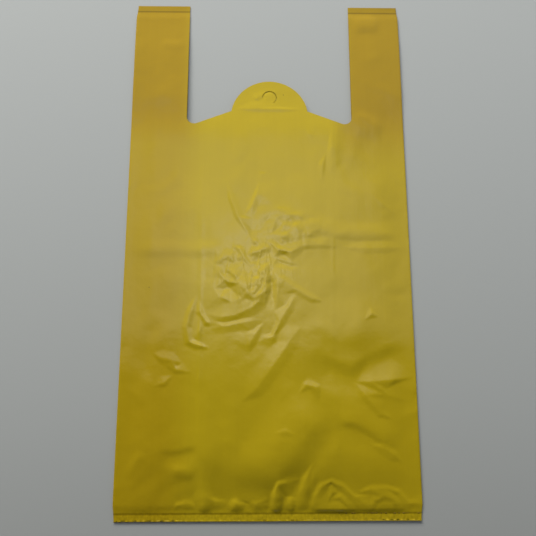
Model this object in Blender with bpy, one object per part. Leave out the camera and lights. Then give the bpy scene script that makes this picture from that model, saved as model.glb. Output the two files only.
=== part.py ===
"""A vest carrier bag of thin plastic film, lying flat on its back with its handles towards +Y.

The film is one blown tube with a gusset folded in at each side. It is welded across the bottom and across
the end of each handle, and a die cuts the mouth, the handles and the hanging tab through all its layers.
The model is the middle surface of that film, folded as the real one is, and thickened to a wall.
Metres, +Z up. The model is laid out from the middle of the bottom edge, and carried by an empty that puts
the origin at the middle of the bag's footprint, on the surface that it lies on.
"""

import math

import bmesh
import bpy
from mathutils import Vector
from mathutils.geometry import delaunay_2d_cdt, intersect_point_line

# Flat film tube
BAG_WIDTH = 0.300
BAG_LENGTH = 0.554
FILM_WALL = 0.0003
LAYER_GAP = 0.0005

# Heat welds, which press the layers together and draw the film in a little
WELD_WIDTH = 0.003
WELD_GAP = 0.0002
WELD_RUN = 0.009
BOTTOM_SKIRT = 0.007
HANDLE_SKIRT = 0.007
END_DRAW_IN = 0.0015
DRAW_IN_RUN = 0.018

# Die cut: mouth, handles and hanging tab
HANDLE_LENGTH = 0.146
MOUTH_WIDTH = 0.182
MOUTH_CORNER_RADIUS = 0.0085
GUSSET_INSIDE_HANDLE = 0.021
SHOULDER_ANGLE = math.radians(21.0)
TAB_RADIUS = 0.0425
TAB_RISE = 0.051
DIE_OFFSET = 0.0019

# Round hanging slit in the tab
SLIT_RADIUS = 0.0076
SLIT_WIDTH = 0.0006
SLIT_BELOW_TAB_TOP = 0.0196
SLIT_START = math.radians(-55.0)
SLIT_END = math.radians(180.0)
CUTTER_BELOW = 0.007
CUTTER_ABOVE = 0.026

# How the empty bag lies: the front stands off the back, and the front straps arch
CROWN = 0.0070
CROWN_RUN = 0.055
TAB_CROWN = 0.0032
TAB_DROP_RUN = 0.020
STRAP_ARCH = 0.0050
STRAP_ARCH_RISE = 0.045

# Main folds of the front as it lies: (height, half width of its flanks, route). A route's points are shares
# of the half width across and of the length up. A negative height is a valley. Towards the side edges the
# folds lose the share FOLD_FADE of their height.
FOLD_FADE = 0.7
FOLDS = (
    (0.0022, 0.014, ((-1.0, 0.480), (-0.66, 0.477), (-0.36, 0.484), (-0.12, 0.491), (0.08, 0.482),
                     (0.24, 0.484), (0.42, 0.493), (0.68, 0.489), (1.0, 0.484))),
    (-0.0016, 0.012, ((0.16, 0.502), (0.31, 0.516), (0.52, 0.512), (0.75, 0.507), (1.0, 0.507))),
    (0.0020, 0.011, ((-0.42, 0.366), (-0.20, 0.363), (-0.08, 0.386), (0.02, 0.412))),
    (0.0026, 0.014, ((0.22, 0.329), (0.07, 0.289), (-0.05, 0.242), (-0.18, 0.204))),
    (0.0032, 0.024, ((0.37, 0.208), (0.19, 0.166), (0.03, 0.112), (-0.09, 0.047))),
    (-0.0018, 0.018, ((0.42, 0.166), (0.28, 0.097), (0.11, 0.040))),
    (-0.0022, 0.018, ((1.0, 0.299), (0.77, 0.269), (0.56, 0.240), (0.39, 0.264), (0.23, 0.283))),
    (0.0022, 0.030, ((0.34, 0.330), (0.58, 0.335), (0.82, 0.345))),
    (0.0014, 0.012, ((0.58, 0.232), (0.66, 0.204), (0.80, 0.178))),
    (0.0017, 0.011, ((-0.49, 0.394), (-0.54, 0.343), (-0.52, 0.300), (-0.39, 0.291))),
    (0.0013, 0.010, ((-0.80, 0.290), (-0.63, 0.278), (-0.40, 0.268))),
    (-0.0012, 0.010, ((-0.67, 0.262), (-0.50, 0.243))),
    (0.0015, 0.010, ((-0.30, 0.617), (-0.24, 0.556), (-0.13, 0.502))),
    (0.0022, 0.010, ((0.28, 0.024), (0.32, 0.049), (0.40, 0.067), (0.48, 0.058), (0.56, 0.044),
                     (0.72, 0.053), (0.87, 0.044), (0.95, 0.028))),
    (-0.0014, 0.012, ((0.44, 0.163), (0.58, 0.159), (0.70, 0.139), (0.81, 0.115))),
    (-0.0014, 0.014, ((-0.68, 0.105), (-0.46, 0.078))),
)

# Fineness of the mesh
BODY_STEP = 0.030
STRAP_STEP = 0.014
FRONT_STEP = 0.018
CREST_STEP = 0.0126
FOLD_STEPS = 3
CORNER_STEPS = 5
SHOULDER_STEPS = 3
TAB_STEPS = 18
SLIT_STEPS = 16
LEAST_SPACING = 0.0075
LEAST_EDGE = 0.0015

# Places worked out from the sizes above
HALF_WIDTH = BAG_WIDTH / 2
LAYER_PITCH = FILM_WALL + LAYER_GAP
BEND = LAYER_PITCH / 2
GUSSET_INNER = MOUTH_WIDTH / 2 - GUSSET_INSIDE_HANDLE
BOTTOM_WELD = BOTTOM_SKIRT
TOP_WELD = BAG_LENGTH - HANDLE_SKIRT
MOUTH_LOW = BAG_LENGTH - HANDLE_LENGTH
TAB_TOP = MOUTH_LOW + TAB_RISE
SLIT_CENTRE = (DIE_OFFSET, TAB_TOP - SLIT_BELOW_TAB_TOP)


def smoothstep(low, high, value):
    share = min(max((value - low) / (high - low), 0.0), 1.0)
    return share * share * (3 - 2 * share)


def half_width(y):
    """Half the width of the flat bag at y, drawn in at the two welded ends."""
    to_end = min(y, BAG_LENGTH - y)
    return HALF_WIDTH - END_DRAW_IN * (1 - smoothstep(0, DRAW_IN_RUN, to_end))


def layer_pitch(y):
    """Distance between the middles of two film layers at y, least where a weld presses them together."""
    to_weld = min(abs(y - BOTTOM_WELD), abs(y - TOP_WELD))
    freed = smoothstep(WELD_WIDTH / 2, WELD_WIDTH / 2 + WELD_RUN, to_weld)
    return FILM_WALL + WELD_GAP + (LAYER_GAP - WELD_GAP) * freed


def strap_lift(x, y):
    """Height by which the front straps arch over the back straps."""
    foot = TOP_WELD - WELD_WIDTH / 2 - WELD_RUN
    along = smoothstep(MOUTH_LOW, MOUTH_LOW + STRAP_ARCH_RISE, y)
    along *= 1 - smoothstep(foot - STRAP_ARCH_RISE, foot, y)
    return STRAP_ARCH * along * smoothstep(GUSSET_INNER, MOUTH_WIDTH / 2 - abs(DIE_OFFSET), abs(x))


def crown(x, y):
    """Height by which the front panel stands off the layers under it."""
    start = BOTTOM_WELD + WELD_WIDTH / 2
    height = CROWN * smoothstep(start, start + CROWN_RUN, y)
    height -= (CROWN - TAB_CROWN) * smoothstep(MOUTH_LOW - TAB_DROP_RUN, TAB_TOP, y)
    height *= 1 - smoothstep(TAB_TOP, TOP_WELD - WELD_WIDTH / 2 - WELD_RUN, y)
    return height * max(1 - (x / HALF_WIDTH) ** 2, 0.0)


def route_points(route):
    return [(across * HALF_WIDTH, up * BAG_LENGTH) for across, up in route]


def distance_to_route(x, y, points):
    here = Vector((x, y))
    nearest = math.inf
    for start, end in zip(points, points[1:]):
        foot, share = intersect_point_line(here, Vector(start), Vector(end))
        foot = Vector(start) if share < 0 else Vector(end) if share > 1 else foot
        nearest = min(nearest, (here - foot.to_2d()).length)
    return nearest


FOLD_ROUTES = tuple((height, reach, route_points(route)) for height, reach, route in FOLDS)


def fold_relief(x, y):
    """Height of the folds at a place of the front: each has a sharp crest and hollow flanks."""
    relief = 0.0
    for height, reach, points in FOLD_ROUTES:
        share = distance_to_route(x, y, points) / reach
        if share < 1:
            relief += height * (1 - share) ** 2
    near_weld = smoothstep(BOTTOM_WELD + WELD_WIDTH / 2, BOTTOM_WELD + WELD_WIDTH / 2 + WELD_RUN, y)
    return relief * near_weld * (1 - FOLD_FADE * abs(x / HALF_WIDTH) ** 4)


def back_height(_x, _y):
    return FILM_WALL / 2


def lower_gusset_height(_x, y):
    return FILM_WALL / 2 + layer_pitch(y)


def upper_gusset_height(x, y):
    return FILM_WALL / 2 + 2 * layer_pitch(y) + strap_lift(x, y)


def front_height(x, y):
    stand_off = max(crown(x, y) + fold_relief(x, y), 0.0)
    return FILM_WALL / 2 + 3 * layer_pitch(y) + strap_lift(x, y) + stand_off


def steps_between(start, end, step):
    """Even places from start up to but not at end, no further apart than step."""
    count = max(math.ceil((end - start) / step), 1)
    return [start + (end - start) * i / count for i in range(count)]


def weld_rows(weld):
    """The places along Y where a weld starts and ends, and where the layers lie free again inside the bag."""
    inward = 1 if weld < BAG_LENGTH / 2 else -1
    rows = [weld - WELD_WIDTH / 2, weld + WELD_WIDTH / 2]
    rows += [weld + inward * (WELD_WIDTH / 2 + WELD_RUN * share) for share in (0.5, 1.0)]
    return sorted(rows)


def fold_rows():
    """The places along Y of the points on every folded edge."""
    low, high = weld_rows(BOTTOM_WELD), weld_rows(TOP_WELD)
    rows = [0.0] + low[:-1]
    rows += steps_between(low[-1], MOUTH_LOW, BODY_STEP)
    rows += steps_between(MOUTH_LOW, high[0], STRAP_STEP)
    return rows + high + [BAG_LENGTH]


ROWS = fold_rows()
STRAP_ROWS = [y for y in ROWS if y > MOUTH_LOW + MOUTH_CORNER_RADIUS + LEAST_SPACING / 2]


def edge_x(y):
    """Where a layer ends at y and its outer bend starts."""
    return half_width(y) - BEND


def arc(centre, radius, start, end, steps):
    angles = [start + (end - start) * i / steps for i in range(steps + 1)]
    return [(centre[0] + radius * math.cos(a), centre[1] + radius * math.sin(a)) for a in angles]


def side_cut(side):
    """The die cut on one side, from the strap's end to the tab's top, with +X towards that side's strap."""
    centre_x = side * DIE_OFFSET
    corner = (centre_x + MOUTH_WIDTH / 2 - MOUTH_CORNER_RADIUS, MOUTH_LOW + MOUTH_CORNER_RADIUS)
    points = [(centre_x + MOUTH_WIDTH / 2, y) for y in reversed(STRAP_ROWS)]
    points += arc(corner, MOUTH_CORNER_RADIUS, 0.0, SHOULDER_ANGLE - math.pi / 2, CORNER_STEPS)
    # The shoulder runs straight from there to the tab's circle.
    foot = Vector(points[-1])
    along = Vector((-math.cos(SHOULDER_ANGLE), math.sin(SHOULDER_ANGLE)))
    centre = Vector((centre_x, TAB_TOP - TAB_RADIUS))
    beside = (centre - foot).dot(along)
    off_line = (centre - foot - beside * along).length
    meet = foot + along * (beside - math.sqrt(TAB_RADIUS ** 2 - off_line ** 2))
    start = math.atan2(meet.y - centre.y, meet.x - centre.x)
    points += [tuple(foot.lerp(meet, i / SHOULDER_STEPS)) for i in range(1, SHOULDER_STEPS)]
    return points + arc(centre, TAB_RADIUS, start, math.pi / 2, TAB_STEPS // 2)


def panel_plan():
    """The front's and back's outline seen from above, and the lines across it that a height follows."""
    left_cut = [(-x, y) for x, y in side_cut(-1)]
    right_cut = side_cut(1)[::-1]
    left = [(-edge_x(y), y) for y in ROWS]
    right = [(edge_x(y), y) for y in reversed(ROWS)]
    across = [((-edge_x(y), y), (edge_x(y), y)) for y in weld_rows(BOTTOM_WELD)]
    for y in STRAP_ROWS[:-1]:
        across += [((-edge_x(y), y), (left_cut[0][0], y)), ((right_cut[-1][0], y), (edge_x(y), y))]
    return left + left_cut + right_cut[1:] + right, across


def gusset_plan(side):
    """The outline of a gusset layer, from its inner bend outwards, and the lines across it."""
    inner = GUSSET_INNER + BEND
    cut = side_cut(side)
    beyond = [point for point in cut if point[0] > inner + LEAST_EDGE]
    last, after = Vector(beyond[-1]), Vector(cut[len(beyond)])
    end = last.lerp(after, (last.x - inner) / (last.x - after.x)).y
    bend = [(inner, y) for y in ROWS if y < end - LEAST_EDGE] + [(inner, end)]
    outer = [(edge_x(y), y) for y in reversed(ROWS)]
    across = [((inner, y), (edge_x(y), y)) for y in weld_rows(BOTTOM_WELD)]
    across += [((cut[0][0], y), (edge_x(y), y)) for y in STRAP_ROWS[:-1]]
    loop = bend + beyond[::-1] + outer
    mirrored = [(side * x, y) for x, y in loop]
    return mirrored, [tuple((side * x, y) for x, y in span) for span in across], len(bend)


def inside(x, y, loop):
    """True where the place lies inside the closed loop."""
    within = False
    for (ax, ay), (bx, by) in zip(loop, loop[1:] + loop[:1]):
        if (ay > y) != (by > y) and x < ax + (bx - ax) * (y - ay) / (by - ay):
            within = not within
    return within


def divided(points, step):
    """The route again, with points no further apart than step."""
    result = []
    for start, end in zip(points, points[1:]):
        start, end = Vector(start), Vector(end)
        count = max(math.ceil((end - start).length / step), 1)
        result += [tuple(start.lerp(end, i / count)) for i in range(count)]
    return result + [tuple(points[-1])]


def front_creases(loop, across):
    """The crests of the folds as routes of points, kept clear of the outline and of the lines across."""
    border = [loop + loop[:1]] + [list(span) for span in across]
    routes = []
    for _height, _reach, points in FOLD_ROUTES:
        kept = [p for p in divided(points, CREST_STEP)
                if inside(*p, loop) and min(distance_to_route(*p, line) for line in border) > LEAST_SPACING]
        if len(kept) > 1:
            routes.append(kept)
    return routes


def front_spots(loop, lines):
    """Places spread evenly over the front, clear of its outline and of every line on it."""
    near = [loop + loop[:1]] + lines
    spots = []
    row_step = FRONT_STEP * math.sqrt(3) / 2
    for row in range(1, math.ceil(BAG_LENGTH / row_step)):
        shift = FRONT_STEP / 2 * (row % 2)
        for column in range(math.ceil(BAG_WIDTH / FRONT_STEP) + 1):
            place = (column * FRONT_STEP + shift - HALF_WIDTH, row * row_step)
            if inside(*place, loop) and min(distance_to_route(*place, line) for line in near) > LEAST_SPACING:
                spots.append(place)
    return spots


def add_layer(bm, loop, lines, spots, height):
    """Add one layer of film, and return its points round the loop."""
    places = list(loop)
    edges = [(i, (i + 1) % len(loop)) for i in range(len(loop))]
    for line in lines:
        first = len(places)
        places += line
        edges += [(i, i + 1) for i in range(first, len(places) - 1)]
    places += spots
    points, _, faces, sources, _, _ = delaunay_2d_cdt([Vector(p) for p in places], edges, [], 0, 1e-6)
    made = [bm.verts.new((p.x, p.y, height(p.x, p.y))) for p in points]
    for face in faces:
        middle = sum((points[i] for i in face), Vector((0.0, 0.0))) / len(face)
        if inside(middle.x, middle.y, loop):
            bm.faces.new([made[i] for i in face])
    place_of = {source: made[i] for i, found in enumerate(sources) for source in found}
    return [place_of[i] for i in range(len(loop))]


def add_bend(bm, upper, lower, outward):
    """Join two layers along a folded edge, with a half round that bulges to the side outward."""
    rails = [upper]
    for step in range(1, FOLD_STEPS):
        angle = math.pi / 2 - math.pi * step / FOLD_STEPS
        rail = []
        for high, low in zip(upper, lower):
            middle, reach = (high.co + low.co) / 2, (high.co.z - low.co.z) / 2
            side = outward * BEND * math.cos(angle)
            rail.append(bm.verts.new((middle.x + side, middle.y, middle.z + reach * math.sin(angle))))
        rails.append(rail)
    rails.append(lower)
    for first, second in zip(rails, rails[1:]):
        for i in range(len(first) - 1):
            bm.faces.new((first[i], first[i + 1], second[i + 1], second[i]))


def film_surface():
    """The middle surface of the film: front, two gussets of two layers each, and back, joined by bends."""
    bm = bmesh.new()
    loop, across = panel_plan()
    lines = [divided(span, FRONT_STEP) for span in across]
    creases = front_creases(loop, across)
    spots = front_spots(loop, lines + creases)
    front = add_layer(bm, loop, lines + creases, spots, front_height)
    back = add_layer(bm, loop, [list(span) for span in across], [], back_height)
    for side in (-1, 1):
        plan, spans, bend_points = gusset_plan(side)
        spans = [list(span) for span in spans]
        upper = add_layer(bm, plan, spans, [], upper_gusset_height)
        lower = add_layer(bm, plan, spans, [], lower_gusset_height)
        add_bend(bm, upper[:bend_points], lower[:bend_points], -side)
        rows = len(ROWS)
        front_edge = front[:rows] if side < 0 else front[-rows:][::-1]
        back_edge = back[:rows] if side < 0 else back[-rows:][::-1]
        add_bend(bm, front_edge, upper[-rows:][::-1], side)
        add_bend(bm, lower[-rows:][::-1], back_edge, side)
    loose = [v for v in bm.verts if not v.link_faces]
    bmesh.ops.delete(bm, geom=loose, context="VERTS")
    bmesh.ops.recalc_face_normals(bm, faces=bm.faces)
    mesh = bpy.data.meshes.new("carrier_bag")
    bm.to_mesh(mesh)
    bm.free()
    return mesh


def film_material():
    """Yellow polyethylene film: glossy, and thin enough to let a little light through."""
    material = bpy.data.materials.new("yellow_polyethylene_film")
    material.use_nodes = True
    shader = material.node_tree.nodes["Principled BSDF"]
    shader.inputs["Base Color"].default_value = (0.52, 0.38, 0.035, 1.0)
    shader.inputs["Roughness"].default_value = 0.32
    shader.inputs["Metallic"].default_value = 0.0
    return material


def placed_object(name, mesh, frame):
    """An object laid out from the bottom edge, carried by the bag's frame."""
    made = bpy.data.objects.new(name, mesh)
    bpy.context.collection.objects.link(made)
    made.parent = frame
    return made


def helper_object(name, mesh, frame):
    """An object that shapes the bag through a Boolean and isn't part of it."""
    helper = placed_object(name, mesh, frame)
    helper.hide_render = True
    helper.display_type = "WIRE"
    return helper


def weld_bar(name, left, right, weld, frame):
    """The fused strip of a weld, which lies within the wall of the outer layers."""
    bm = bmesh.new()
    bmesh.ops.create_cube(bm, size=1.0)
    low = FILM_WALL / 2
    high = FILM_WALL / 2 + 3 * layer_pitch(weld)
    bmesh.ops.scale(bm, vec=(right - left, WELD_WIDTH - FILM_WALL, high - low), verts=bm.verts)
    bmesh.ops.translate(bm, vec=((left + right) / 2, weld, (low + high) / 2), verts=bm.verts)
    mesh = bpy.data.meshes.new(name)
    bm.to_mesh(mesh)
    bm.free()
    return helper_object(name, mesh, frame)


def slit_cutter(frame):
    """A thin curved wall that cuts the hanging slit through the tab's front and back."""
    outer = arc(SLIT_CENTRE, SLIT_RADIUS + SLIT_WIDTH / 2, SLIT_START, SLIT_END, SLIT_STEPS)
    inner = arc(SLIT_CENTRE, SLIT_RADIUS - SLIT_WIDTH / 2, SLIT_END, SLIT_START, SLIT_STEPS)
    bm = bmesh.new()
    base = [bm.verts.new((x, y, -CUTTER_BELOW)) for x, y in outer + inner]
    floor = bm.faces.new(base)
    extruded = bmesh.ops.extrude_face_region(bm, geom=[floor])["geom"]
    raised = [v for v in extruded if isinstance(v, bmesh.types.BMVert)]
    bmesh.ops.translate(bm, vec=(0, 0, CUTTER_BELOW + CUTTER_ABOVE), verts=raised)
    bmesh.ops.recalc_face_normals(bm, faces=bm.faces)
    mesh = bpy.data.meshes.new("slit_cutter")
    bm.to_mesh(mesh)
    bm.free()
    return helper_object("slit_cutter", mesh, frame)


def add_boolean(bag, helper, operation):
    modifier = bag.modifiers.new(helper.name, "BOOLEAN")
    modifier.operation = operation
    modifier.solver = "EXACT"
    modifier.object = helper


def main():
    for existing in list(bpy.data.objects):
        bpy.data.objects.remove(existing, do_unlink=True)
    frame = bpy.data.objects.new("bag_frame", None)
    bpy.context.collection.objects.link(frame)
    frame.location = (0.0, -BAG_LENGTH / 2, 0.0)
    bag = placed_object("carrier_bag", film_surface(), frame)
    bag.data.materials.append(film_material())
    wall = bag.modifiers.new("film_wall", "SOLIDIFY")
    wall.thickness = FILM_WALL
    wall.offset = 0.0
    wall.use_even_offset = True
    bar_end = half_width(BOTTOM_WELD) - FILM_WALL
    strap_end = half_width(TOP_WELD) - FILM_WALL
    left_strap, right_strap = side_cut(-1)[0][0], side_cut(1)[0][0]
    bars = (("bottom_weld", -bar_end, bar_end, BOTTOM_WELD),
            ("left_handle_weld", -strap_end, -left_strap - FILM_WALL, TOP_WELD),
            ("right_handle_weld", right_strap + FILM_WALL, strap_end, TOP_WELD))
    for name, left, right, weld in bars:
        add_boolean(bag, weld_bar(name, left, right, weld, frame), "UNION")
    add_boolean(bag, slit_cutter(frame), "DIFFERENCE")


main()
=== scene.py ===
"""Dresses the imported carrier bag: a gusseted tube of yellow polyethylene film, lying flat on a pale floor.

The film is built as one folded sheet, laid out in millimetres from the middle of the bag's bottom edge and
then put in the frame. Its front carries the creases of a bag that was folded once and opened again.
"""

import math

import bmesh
import bpy
import numpy as np
from mathutils import Matrix, Vector, kdtree, noise
from mathutils.geometry import delaunay_2d_cdt


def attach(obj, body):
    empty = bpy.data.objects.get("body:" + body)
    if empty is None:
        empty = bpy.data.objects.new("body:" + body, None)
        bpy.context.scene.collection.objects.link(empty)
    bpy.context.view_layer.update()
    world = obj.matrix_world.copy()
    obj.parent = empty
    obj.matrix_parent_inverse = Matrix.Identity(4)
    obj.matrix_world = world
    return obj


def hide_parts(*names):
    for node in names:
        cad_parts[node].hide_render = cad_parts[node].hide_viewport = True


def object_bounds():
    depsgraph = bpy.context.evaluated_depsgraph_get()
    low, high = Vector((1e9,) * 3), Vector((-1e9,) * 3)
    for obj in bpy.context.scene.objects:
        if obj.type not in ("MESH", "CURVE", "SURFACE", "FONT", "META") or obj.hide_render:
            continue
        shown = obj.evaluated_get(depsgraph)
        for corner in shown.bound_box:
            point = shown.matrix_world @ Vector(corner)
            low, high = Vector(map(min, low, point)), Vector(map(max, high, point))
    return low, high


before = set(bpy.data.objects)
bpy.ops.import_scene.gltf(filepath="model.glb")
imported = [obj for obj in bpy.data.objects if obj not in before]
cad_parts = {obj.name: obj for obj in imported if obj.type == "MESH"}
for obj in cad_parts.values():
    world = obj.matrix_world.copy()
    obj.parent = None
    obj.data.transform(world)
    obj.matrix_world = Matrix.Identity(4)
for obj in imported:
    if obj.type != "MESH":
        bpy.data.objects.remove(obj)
CAD_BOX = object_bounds()

bl_info = {
    "name": "Carrier bag of yellow film",
    "version": (1, 0, 0),
    "blender": (4, 5, 0),
    "location": "3D View > Sidebar > Carrier Bag",
    "description": "Builds the film, its welds and creases, and the floor and light around it",
    "category": "Object",
}

BAG_NODE = "carrier_bag"
MM = 0.001

# The flat bag, from the frame, in millimetres
BAG_LENGTH = round((CAD_BOX[1][1] - CAD_BOX[0][1]) / MM)
BAG_WIDTH = round((CAD_BOX[1][0] - CAD_BOX[0][0]) / MM)


def linear(hex_colour):
    """An sRGB hex colour as linear red, green, blue and full alpha."""
    parts = [int(hex_colour[i:i + 2], 16) / 255 for i in (1, 3, 5)]
    return tuple(c / 12.92 if c <= 0.04045 else ((c + 0.055) / 1.055) ** 2.4 for c in parts) + (1.0,)


def size_property(name, description, default):
    """A size of the bag, in metres."""
    return bpy.props.FloatProperty(name=name, description=description, default=default,
                                   min=0.0, precision=5, subtype="DISTANCE", unit="LENGTH")


def colour_property(name, description, hex_colour):
    """A colour with its alpha, from an sRGB hex value."""
    return bpy.props.FloatVectorProperty(name=name, description=description, default=linear(hex_colour),
                                         min=0.0, max=1.0, size=4, subtype="COLOR")


class BagSizes(bpy.types.PropertyGroup):
    """Sizes of the bag and its film."""

    width: size_property("Flat width", "Width of the flat bag", BAG_WIDTH * MM)
    length: size_property("Length", "Length with the handles", BAG_LENGTH * MM)
    gusset: size_property("Gusset depth", "How far each side folds in", 0.080)
    handle: size_property("Handle length", "From the handle's end to the mouth's lowest point", 0.146)
    mouth: size_property("Mouth width", "Between the two handles", 0.182)
    corner: size_property("Mouth corner radius", "Radius of the cut's corners", 0.0085)
    shoulder: bpy.props.FloatProperty(name="Shoulder angle", description="Slope of the mouth's edge",
                                      default=math.radians(21.0), subtype="ANGLE")
    tab_radius: size_property("Tab radius", "Radius of the hanging tab", 0.0425)
    tab_rise: size_property("Tab rise", "From the mouth's lowest point to the tab's top", 0.051)
    die_offset: size_property("Die offset", "How far the cut sits off the middle", 0.0019)
    skirt: size_property("Skirt", "From each end to its weld", 0.007)
    film: size_property("Film wall", "Wall of the film as drawn", 0.00012)
    layer: size_property("Layer pitch", "From one folded layer to the next", 0.00035)
    crown: size_property("Crown", "Height of the front over the back in the middle", 0.0045)
    strap_arch: size_property("Strap arch", "Height of the front straps over the back ones", 0.0008)


class BagColours(bpy.types.PropertyGroup):
    """Colours of the film and the floor."""

    film: colour_property("Film", "Two layers of film over a pale floor", "#AE9817")
    # Deeper yellow of four layers, also used for the painted warm cast of light on the left side
    folded_and_warm_cast: colour_property("Folded film", "Four layers of film, at the gussets", "#9C7F0D")
    melted: colour_property("Melted film", "Beads at the bottom weld", "#75610F")
    floor: colour_property("Floor", "Pale matt floor", "#A2A5A5")


# Relief of the front, in millimetres from the middle of the bottom edge. A crease or a fold is (height,
# reach to the left of the walk along it, reach to its right, route), and a negative height is a hollow.
# Sharp creases, which stand between flat facets:
CREASES = (
    # Fold of the stored bag: its steep faces in the middle, and its sharp line on the right
    (0.7, 7, 9, ((-19, 259), (-14, 264), (-3, 268), (5, 270))),
    (0.9, 5, 13, ((4, 270), (12, 266.5), (23, 264), (34, 262))),
    (0.5, 7, 5, ((-6, 278), (6, 270), (22, 266.5), (36, 271), (52, 272), (76, 269))),
    (0.4, 8, 6, ((76, 269), (100, 268.5), (125, 269), (149, 270))),
    (-0.5, 4, 5, ((6, 258), (14, 252), (24, 249), (34, 249))),
    (-0.4, 4, 4, ((-20, 252), (-12, 255), (-3, 260))),
    # Curl and bright facets at the left of the middle
    (0.6, 4, 5, ((-38, 271), (-29, 267.5), (-26, 261), (-31, 255))),
    (0.5, 9, 8, ((-57, 251), (-50, 256.5), (-41, 259.5), (-32, 258))),
    (0.5, 5, 8, ((-56, 251), (-50, 242), (-45, 234))),
    (0.4, 4, 4, ((-18, 279), (-13, 275), (-11, 270))),
    # Fan of creases that runs down from the middle
    (0.6, 3, 3, ((-42, 254), (-37, 242), (-30, 230), (-22, 215))),
    (0.5, 3, 3, ((-37, 252), (-28, 236), (-21, 222), (-16, 213))),
    (0.4, 3, 3, ((-30, 251), (-24, 236), (-17, 222))),
    (0.8, 5, 6, ((2.5, 254), (-4, 246), (-11, 236), (-16, 216))),
    (0.5, 3, 3, ((-12, 237), (-4, 239), (-10, 229), (-4, 231))),
    (0.8, 5, 4, ((3, 252), (-2, 236), (-6, 221), (-14, 212))),
    (-0.8, 5, 6, ((3, 246), (4, 226), (6.5, 202))),
    (0.5, 4, 4, ((3, 250), (9, 236), (10, 220), (8, 206))),
    (0.5, 5, 5, ((4, 250), (12, 237), (29, 225), (46, 215), (58, 212))),
    (0.6, 6, 4, ((30, 218), (21, 206), (12, 191), (5, 176), (-11, 170))),
    # Steep face under the bulge
    (0.6, 14, 9, ((-60, 198), (-46, 196), (-33, 198), (-20, 204), (-9, 213), (-2, 223), (0, 232))),
    (0.45, 3, 8, ((-60, 192), (-45, 187), (-30, 190), (-5, 193))),
    (0.6, 5, 5, ((-4, 191), (-12, 180), (-19, 168), (-22, 161))),
    (0.3, 3, 3, ((-24, 179), (-22, 168), (-19, 160))),
    # Blister at the left
    (0.8, 5, 5, ((-74, 219), (-79, 203), (-83, 186), (-80, 171), (-72, 168), (-58, 164))),
    (0.6, 5, 5, ((-73, 217), (-70, 202), (-63, 191), (-54, 192))),
    (0.4, 4, 4, ((-70, 197), (-69, 184), (-68, 170))),
    (0.3, 4, 4, ((-68, 183), (-58, 183))),
    # Pinch at the left
    (0.6, 9, 4, ((-117, 160), (-109, 155), (-97, 152), (-86, 150))),
    (0.6, 4, 7, ((-105, 148), (-92, 143), (-76, 140))),
    (0.5, 8, 4, ((-114, 127), (-104, 130), (-94, 139))),
    # Long ridge in the middle
    (0.65, 10, 14, ((34, 186), (22, 172), (13, 158), (0, 140), (-12, 124), (-27, 112))),
    # Wedge at the right and the facets left of it
    (0.9, 22, 4, ((84, 131), (104, 131), (128, 133), (149, 135))),
    (0.5, 7, 5, ((86, 131), (97, 118), (112, 100), (126, 94))),
    (0.3, 6, 6, ((88, 131), (118, 119), (146, 110))),
    (0.7, 5, 7, ((41, 134), (48, 126), (51, 112))),
    (0.5, 5, 5, ((30, 119), (38, 128), (48, 130))),
    (0.35, 4, 6, ((4, 82), (17, 84), (29, 80))),
    (0.5, 5, 7, ((100, 71), (112, 68), (124, 61), (133, 53))),
    # Film that stands up along the bottom weld
    (0.6, 4, 6, ((43, 9), (45, 22), (52, 32), (62, 36), (72, 32), (84, 22), (88, 10))),
    (0.6, 4, 4, ((61, 35), (62, 26), (57, 16))),
    (0.5, 4, 4, ((60, 20), (70, 22), (80, 10))),
    (0.5, 4, 6, ((84, 25), (99, 29), (114, 30), (127, 26), (134, 18), (136, 10))),
    (0.5, 4, 4, ((102, 10), (103, 18), (112, 23), (122, 20), (125, 10))),
    (0.6, 3, 4, ((134, 9), (138, 16), (145, 16), (148, 9))),
    (1.0, 4, 5, ((4, 9), (6, 22), (9, 34), (12, 22), (13, 9))),
    (0.5, 3, 3, ((20, 9), (22, 20), (26, 9))),
    (0.8, 5, 5, ((28, 20), (36, 38), (44, 54))),
    (0.9, 3, 4, ((-67, 9), (-64, 23), (-58, 22), (-55, 10))),
    (0.6, 3, 3, ((-54, 9), (-52, 19), (-47, 10))),
    (0.7, 4, 4, ((-37, 9), (-31, 17), (-24, 10))),
    (0.4, 3, 3, ((-14, 9), (-12, 16), (-9, 9))),
    (0.4, 3, 3, ((-92, 9), (-89, 15), (-86, 9))),
    # Upper part
    (0.8, 6, 4, ((-44, 343), (-39, 322), (-31, 301), (-19, 280))),
    (0.7, 4, 3, ((-17, 300), (-17, 314), (-12, 326), (-9, 341))),
    (0.35, 3, 2.5, ((-4, 341), (-5, 326), (-10, 314))),
    (0.3, 3, 3, ((-11, 352), (-6, 350), (-1, 351))),
    (0.9, 2.5, 5, ((70, 406), (69.5, 380), (69, 343))),
    (0.6, 4, 5, ((64, 376), (59, 360), (58, 340))),
    (0.3, 5, 5, ((43, 404), (46, 396), (48, 387))),
    (0.5, 5, 4, ((-11, 403), (-4, 403))),
    (0.4, 4, 6, ((16, 305), (27, 304), (38, 309))),
    (0.3, 4, 4, ((30, 298), (36, 302), (42, 298))),
    (0.6, 7, 5, ((98, 192), (107, 200), (114, 196))),
    (0.25, 4, 4, ((60, 252), (76, 251))),
    (0.25, 4, 4, ((108, 331), (124, 316), (142, 303))),
    # Tab: a crease at its foot and wrinkles left of the slit
    (0.5, 3, 4, ((-38, 425), (-12, 425.5), (14, 425.5), (42, 425))),
    (0.45, 3, 3, ((-17, 443), (-13, 438), (-10, 435))),
    (0.35, 2.5, 2.5, ((-11, 446), (-9, 441), (-8, 437))),
)

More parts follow.
